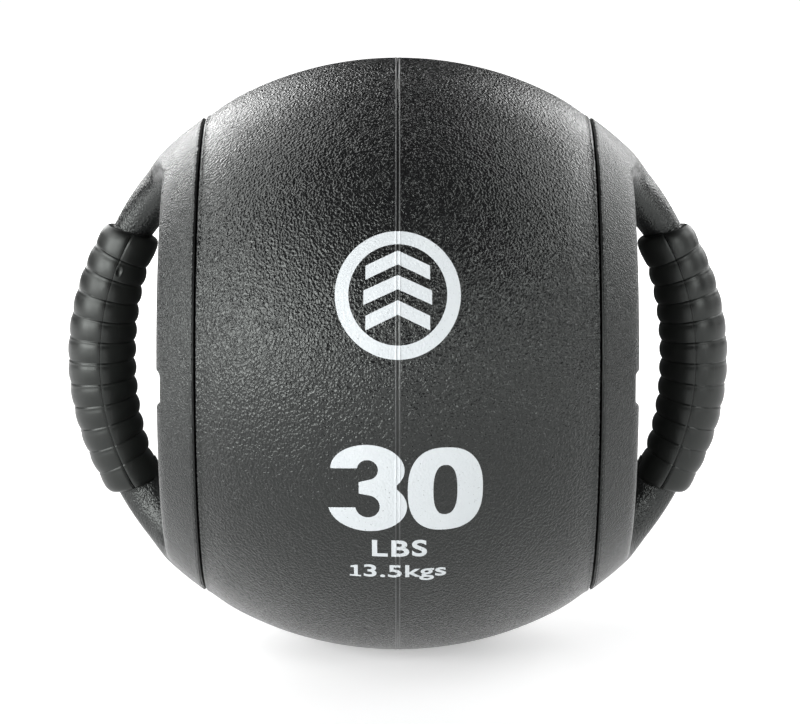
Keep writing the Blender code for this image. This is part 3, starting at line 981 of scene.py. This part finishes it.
def flange_rubber():
    """The cap's smooth bevel: satin rubber with faint turning marks."""
    material, tree, shader = new_material("flange_rubber_look")
    place = object_place(tree)
    rings = noise(tree, mapped(tree, place, scale=(1, 0.02, 0.02)), 3000, 2.0)
    soft = noise(tree, place, 60, 3.0)
    tone = mixed(tree, soft, colour(0.0045, 0.0046, 0.0048), colour(0.0090, 0.0092, 0.0094))
    rough = remap(tree, soft, 0.3, 0.7, 0.40, 0.55)
    shader.inputs["Specular Tint"].default_value = RUBBER_TINT
    coat(tree, shader, tone, rough, bump(tree, rings, 0.00003, 0.6))
    return material


def grip_rubber():
    """Satin sleeve rubber: smears in its gloss and hairline scratches."""
    material, tree, shader = new_material("grip_rubber_look")
    place = object_place(tree)
    smear = noise(tree, mapped(tree, place, scale=(1, 1, 0.35)), 90, 4.0, 0.6, 0.4)
    fine = noise(tree, place, 700, 3.0, 0.6)
    streaks = noise(tree, mapped(tree, place, rotation=(0.3, 0.5, 0.2), scale=(1, 1, 0.06)), 900, 2.0)
    scratch = remap(tree, streaks, 0.66, 0.72, 0.0, 1.0)
    tone = mixed(tree, smear, colour(0.0045, 0.0048, 0.0045), colour(0.0085, 0.0088, 0.0084))
    tone = mixed(tree, calc(tree, "MULTIPLY", scratch, 0.25), tone, colour(0.04, 0.04, 0.039))
    rough = remap(tree, smear, 0.3, 0.7, 0.30, 0.42)
    rough = calc(tree, "ADD", rough, calc(tree, "MULTIPLY", fine, 0.06))
    shader.inputs["Specular IOR Level"].default_value = RUBBER_SPECULAR
    shader.inputs["Specular Tint"].default_value = RUBBER_TINT
    normal = bump(tree, fine, 0.00002, 0.6, bump(tree, smear, 0.00010, 0.8))
    coat(tree, shader, tone, rough, normal)
    return material


def print_ink():
    """White print: the leather grain shows through, with painted shade in its creases, pinholes and a
    slightly uneven coat.
    """
    material, tree, shader = new_material("white_ink_look")
    place = object_place(tree)
    height = leather_height(tree, place, GRAIN_PITCH, GRAIN_TILT, GRAIN_STRETCH)
    soft = noise(tree, place, 70, 3.0)
    # Darker in the grain's creases: painted shade.
    crease_painted_shade = remap(tree, height, 0.02, 0.30, 1.0, 0.0)
    white = mixed(tree, soft, colour(0.545, 0.580, 0.600), colour(0.610, 0.645, 0.655))
    tone = mixed(tree, calc(tree, "MULTIPLY", crease_painted_shade, 0.07), white, colour(0.42, 0.44, 0.47))
    holes = remap(tree, noise(tree, place, 1500, 1.0), 0.735, 0.75, 0.0, 1.0)
    tone = mixed(tree, calc(tree, "MULTIPLY", holes, 0.7), tone, colour(0.05, 0.05, 0.05))
    rough = remap(tree, soft, 0.3, 0.7, 0.42, 0.55)
    coat(tree, shader, tone, rough, bump(tree, height, GRAIN_DEPTH, 0.30))
    return material


def steel(name, low, high, rough_low, rough_high, scale, stretch):
    """Bare or zinc-plated steel with drawn streaks, cloudy blooms and fine pitting."""
    material, tree, shader = new_material(name)
    place = object_place(tree)
    streaks = noise(tree, mapped(tree, place, scale=stretch), scale, 3.0, 0.6)
    bloom = noise(tree, place, 60, 4.0, 0.6)
    pits = remap(tree, noise(tree, place, 1800, 2.0), 0.62, 0.74, 1.0, 0.0)
    tone = mixed(tree, bloom, colour(*low), colour(*high))
    cloudy = remap(tree, bloom, 0.3, 0.7, rough_low, rough_high)
    rough = calc(tree, "ADD", cloudy, calc(tree, "MULTIPLY", streaks, 0.08))
    shader.inputs["Metallic"].default_value = 1.0
    height = calc(tree, "ADD", calc(tree, "MULTIPLY", streaks, 0.5), pits)
    coat(tree, shader, tone, rough, bump(tree, height, 0.00003, 0.6))
    return material


def inner_rubber(name, low, high):
    """Plain black rubber dusted with talc."""
    material, tree, shader = new_material(name)
    place = object_place(tree)
    soft = noise(tree, place, 40, 4.0, 0.6)
    fine = noise(tree, place, 1100, 3.0, 0.6)
    dust = remap(tree, calc(tree, "MULTIPLY", soft, fine), 0.28, 0.40, 0.0, 0.35)
    tone = mixed(tree, soft, colour(*low), colour(*high))
    tone = mixed(tree, dust, tone, colour(0.30, 0.29, 0.27))
    rough = remap(tree, soft, 0.3, 0.7, 0.5, 0.7)
    coat(tree, shader, tone, rough, bump(tree, fine, 0.00005, 0.7))
    return material


def dense_filling():
    """Heavy granular filling: packed grains of mixed colour."""
    material, tree, shader = new_material("dense_filling_look")
    place = object_place(tree)
    grains = add(tree, "TexVoronoi", {"Vector": place, "Scale": 800.0})
    tint = mixed(tree, 0.8, colour(0.24, 0.20, 0.16), grains.outputs["Color"])
    tone = mixed(tree, noise(tree, place, 90, 4.0), colour(0.13, 0.11, 0.09), tint)
    tone = mixed(tree, 0.6, tone, colour(0.24, 0.20, 0.16))
    coat(tree, shader, tone, 0.9, bump(tree, grains.outputs["Distance"], 0.0006))
    return material


# ---------------------------------------------------------------- floor, light and camera
# The floor glows behind the ball and far from it, where the pale ground has to look evenly lit.
FLOOR_SIZE = 40.0
FLOOR_GLOW_FRONT = 0.0
FLOOR_GLOW_BACK = 0.43
FLOOR_GLOW_FAR = 1.0
GLOW_FRONT_Y = -0.28
GLOW_BACK_Y = -0.04
GLOW_NEAR_END = 0.25
GLOW_FAR_START = 1.6
LIGHT_DISTANCE = 2.5
WORLD_GLOW = 0.0

# Softboxes: azimuth and elevation in degrees, width, height and radiance. Azimuth 0 is the camera's side.
SOFTBOXES = {
    "key_left": (298, 12, 1.20, 0.95, 9.4),
    "key_front": (326, 14, 0.90, 0.90, 10.4),
    "high_left": (286, 34, 1.90, 1.15, 3.3),
    "fill_front": (38, 18, 0.90, 0.90, 6.0),
    "high_right": (90, 36, 1.00, 1.15, 3.3),
    "low_right": (90, 12, 0.95, 0.95, 1.4),
    "back_right": (130, 38, 2.20, 1.60, 1.85),
    "back_left": (228, 38, 2.30, 1.60, 2.65),
    "low_back_right": (146, 16, 1.90, 0.80, 3.7),
    "low_back_left": (205, 16, 1.10, 0.80, 5.3),
}

# The camera, fitted to the photograph's outline of the ball. It aims a little beside the ball's centre.
VIEW_ELEVATION = radians(9.3)
VIEW_DISTANCE = 1.535
VIEW_LENS = 160.4
AIM_RIGHT = 0.00095
AIM_DOWN = 0.00366
SENSOR_WIDTH = 36.0
VIEW_REACH = 200


def make_floor():
    floor_z = cad_box[0][2]
    half = FLOOR_SIZE / 2
    points = [(x * half, y * half, floor_z) for x, y in ((-1, -1), (1, -1), (1, 1), (-1, 1))]
    material, tree, shader = new_material("pale_floor")
    place = object_place(tree)
    tone = mixed(tree, noise(tree, place, 3.0, 2.0), colour(0.86, 0.86, 0.865), colour(0.88, 0.88, 0.88))
    feed(tree, shader.inputs["Base Color"], tone)
    shader.inputs["Roughness"].default_value = 0.9
    shader.inputs["Specular IOR Level"].default_value = 0.1
    shader.inputs["Emission Color"].default_value = colour(1, 1, 1)
    away = add(tree, "VectorMath", {0: place}, operation="LENGTH").outputs["Value"]
    y = add(tree, "SeparateXYZ", {"Vector": place}).outputs["Y"]
    near_glow = remap(tree, y, GLOW_FRONT_Y, GLOW_BACK_Y, FLOOR_GLOW_FRONT, FLOOR_GLOW_BACK)
    glow = remap(tree, away, GLOW_NEAR_END, GLOW_FAR_START, near_glow, FLOOR_GLOW_FAR)
    feed(tree, shader.inputs["Emission Strength"], glow)
    floor = mesh_object("studio_floor", points, [(0, 1, 2, 3)], material, sharp=None)


def make_softbox(name, azimuth, elevation, width, height, radiance):
    """A rectangular light that faces the ball. Its power follows from its radiance and its area."""
    turn, rise = radians(azimuth), radians(elevation)
    toward = Vector((sin(turn) * cos(rise), -cos(turn) * cos(rise), sin(rise)))
    data = bpy.data.lights.new(name, "AREA")
    data.shape = "RECTANGLE"
    data.size, data.size_y = width, height
    data.energy = pi * width * height * radiance
    light = placed(name, data)
    light.location = toward * LIGHT_DISTANCE
    light.rotation_euler = (-toward).to_track_quat("-Z", "Y").to_euler()


def make_lights():
    world = bpy.data.worlds.new("studio")
    bpy.context.scene.world = world
    world.use_nodes = True
    world.node_tree.nodes["Background"].inputs["Strength"].default_value = WORLD_GLOW
    for name, settings in SOFTBOXES.items():
        make_softbox(name, *settings)


def make_camera():
    back = Vector((0, -cos(VIEW_ELEVATION), sin(VIEW_ELEVATION)))
    up = Vector((0, sin(VIEW_ELEVATION), cos(VIEW_ELEVATION)))
    place = back * VIEW_DISTANCE
    aim = Vector((AIM_RIGHT, 0, 0)) - up * AIM_DOWN
    data = bpy.data.cameras.new("camera")
    data.lens = VIEW_LENS
    data.sensor_width = SENSOR_WIDTH
    data.clip_end = VIEW_REACH
    camera = placed("camera", data)
    camera.location = place
    camera.rotation_euler = (aim - place).to_track_quat("-Z", "Y").to_euler()
    bpy.context.scene.camera = camera


# ---------------------------------------------------------------- assembly
def build_covers(material):
    for label, side in SIDES.items():
        cover = make_cover(f"cover_skin_{label}", side, material)
        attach(cover, "root")
        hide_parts(f"cover_{label}")


def build_caps(material, smooth_material):
    points, faces, normals = cap_mesh()
    for label, side in SIDES.items():
        cap = mesh_object(f"cap_body_{label}", points, faces, material, side, normals=normals)
        flange = make_flange(f"cap_flange_{label}", side, smooth_material)
        for piece in (cap, flange):
            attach(piece, "root")
        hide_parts(f"side_cap_{label}")


def build_grips(material):
    for label, side in SIDES.items():
        grip = make_grip(f"grip_sleeve_{label}", side, material, moulding_pit if side < 0 else None)
        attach(grip, "root")
        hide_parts(f"grip_{label}")


def build_prints(material):
    shapes = {
        "print_emblem": filled_shape(emblem_loops(EMBLEM_PLACE)),
        "print_three": filled_shape(three_loops(THREE_PLACE)),
        "print_zero": filled_shape(zero_loops(ZERO_PLACE)),
        "print_pounds": written("LBS", POUNDS_PLACE, POUNDS_SIZE, 0.00024, 1.15),
        "print_one": filled_shape(one_loops(ONE_PLACE, ONE_SIZE)),
        "print_kilograms": written("3.5kgs", KILOGRAMS_PLACE, KILOGRAMS_SIZE, 0.00018, 1.05),
    }
    for name, shape in shapes.items():
        piece = draped(name, shape, material)
        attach(piece, "root")


# Steels: darkest and palest colour, lowest and highest roughness, and the streaks' scale and stretch.
STEELS = {
    "bar_steel_look": ((0.36, 0.37, 0.38), (0.46, 0.47, 0.48), 0.28, 0.42, 400, (1, 1, 0.08)),
    "plate_steel_look": ((0.44, 0.44, 0.45), (0.56, 0.56, 0.57), 0.34, 0.50, 300, (1, 1, 0.1)),
    "screw_zinc_look": ((0.58, 0.58, 0.55), (0.68, 0.68, 0.66), 0.22, 0.36, 900, (1, 0.3, 0.3)),
}


def dress_inner_nodes():
    """Gives every CAD piece that stays in the model its own finish."""
    bar, plate, zinc = [steel(name, *settings) for name, settings in STEELS.items()]
    looks = {
        "handle_core": bar,
        "anchor_plate": plate,
        "anchor_screw": zinc,
        "washer": zinc,
        "bladder": inner_rubber("bladder_rubber_look", (0.045, 0.038, 0.034), (0.075, 0.064, 0.056)),
        "filler_plug": inner_rubber("plug_rubber_look", (0.015, 0.015, 0.015), (0.028, 0.028, 0.028)),
        "ballast_fill": dense_filling(),
    }
    for name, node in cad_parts.items():
        for start, material in looks.items():
            if name.startswith(start):
                node.data.materials.clear()
                node.data.materials.append(material)


bpy.context.scene.view_settings.view_transform = "Standard"
make_camera()
make_floor()
make_lights()
build_covers(ball_rubber())
build_caps(cap_rubber(), flange_rubber())
build_grips(grip_rubber())
build_prints(print_ink())
dress_inner_nodes()

bpy.context.view_layer.update()
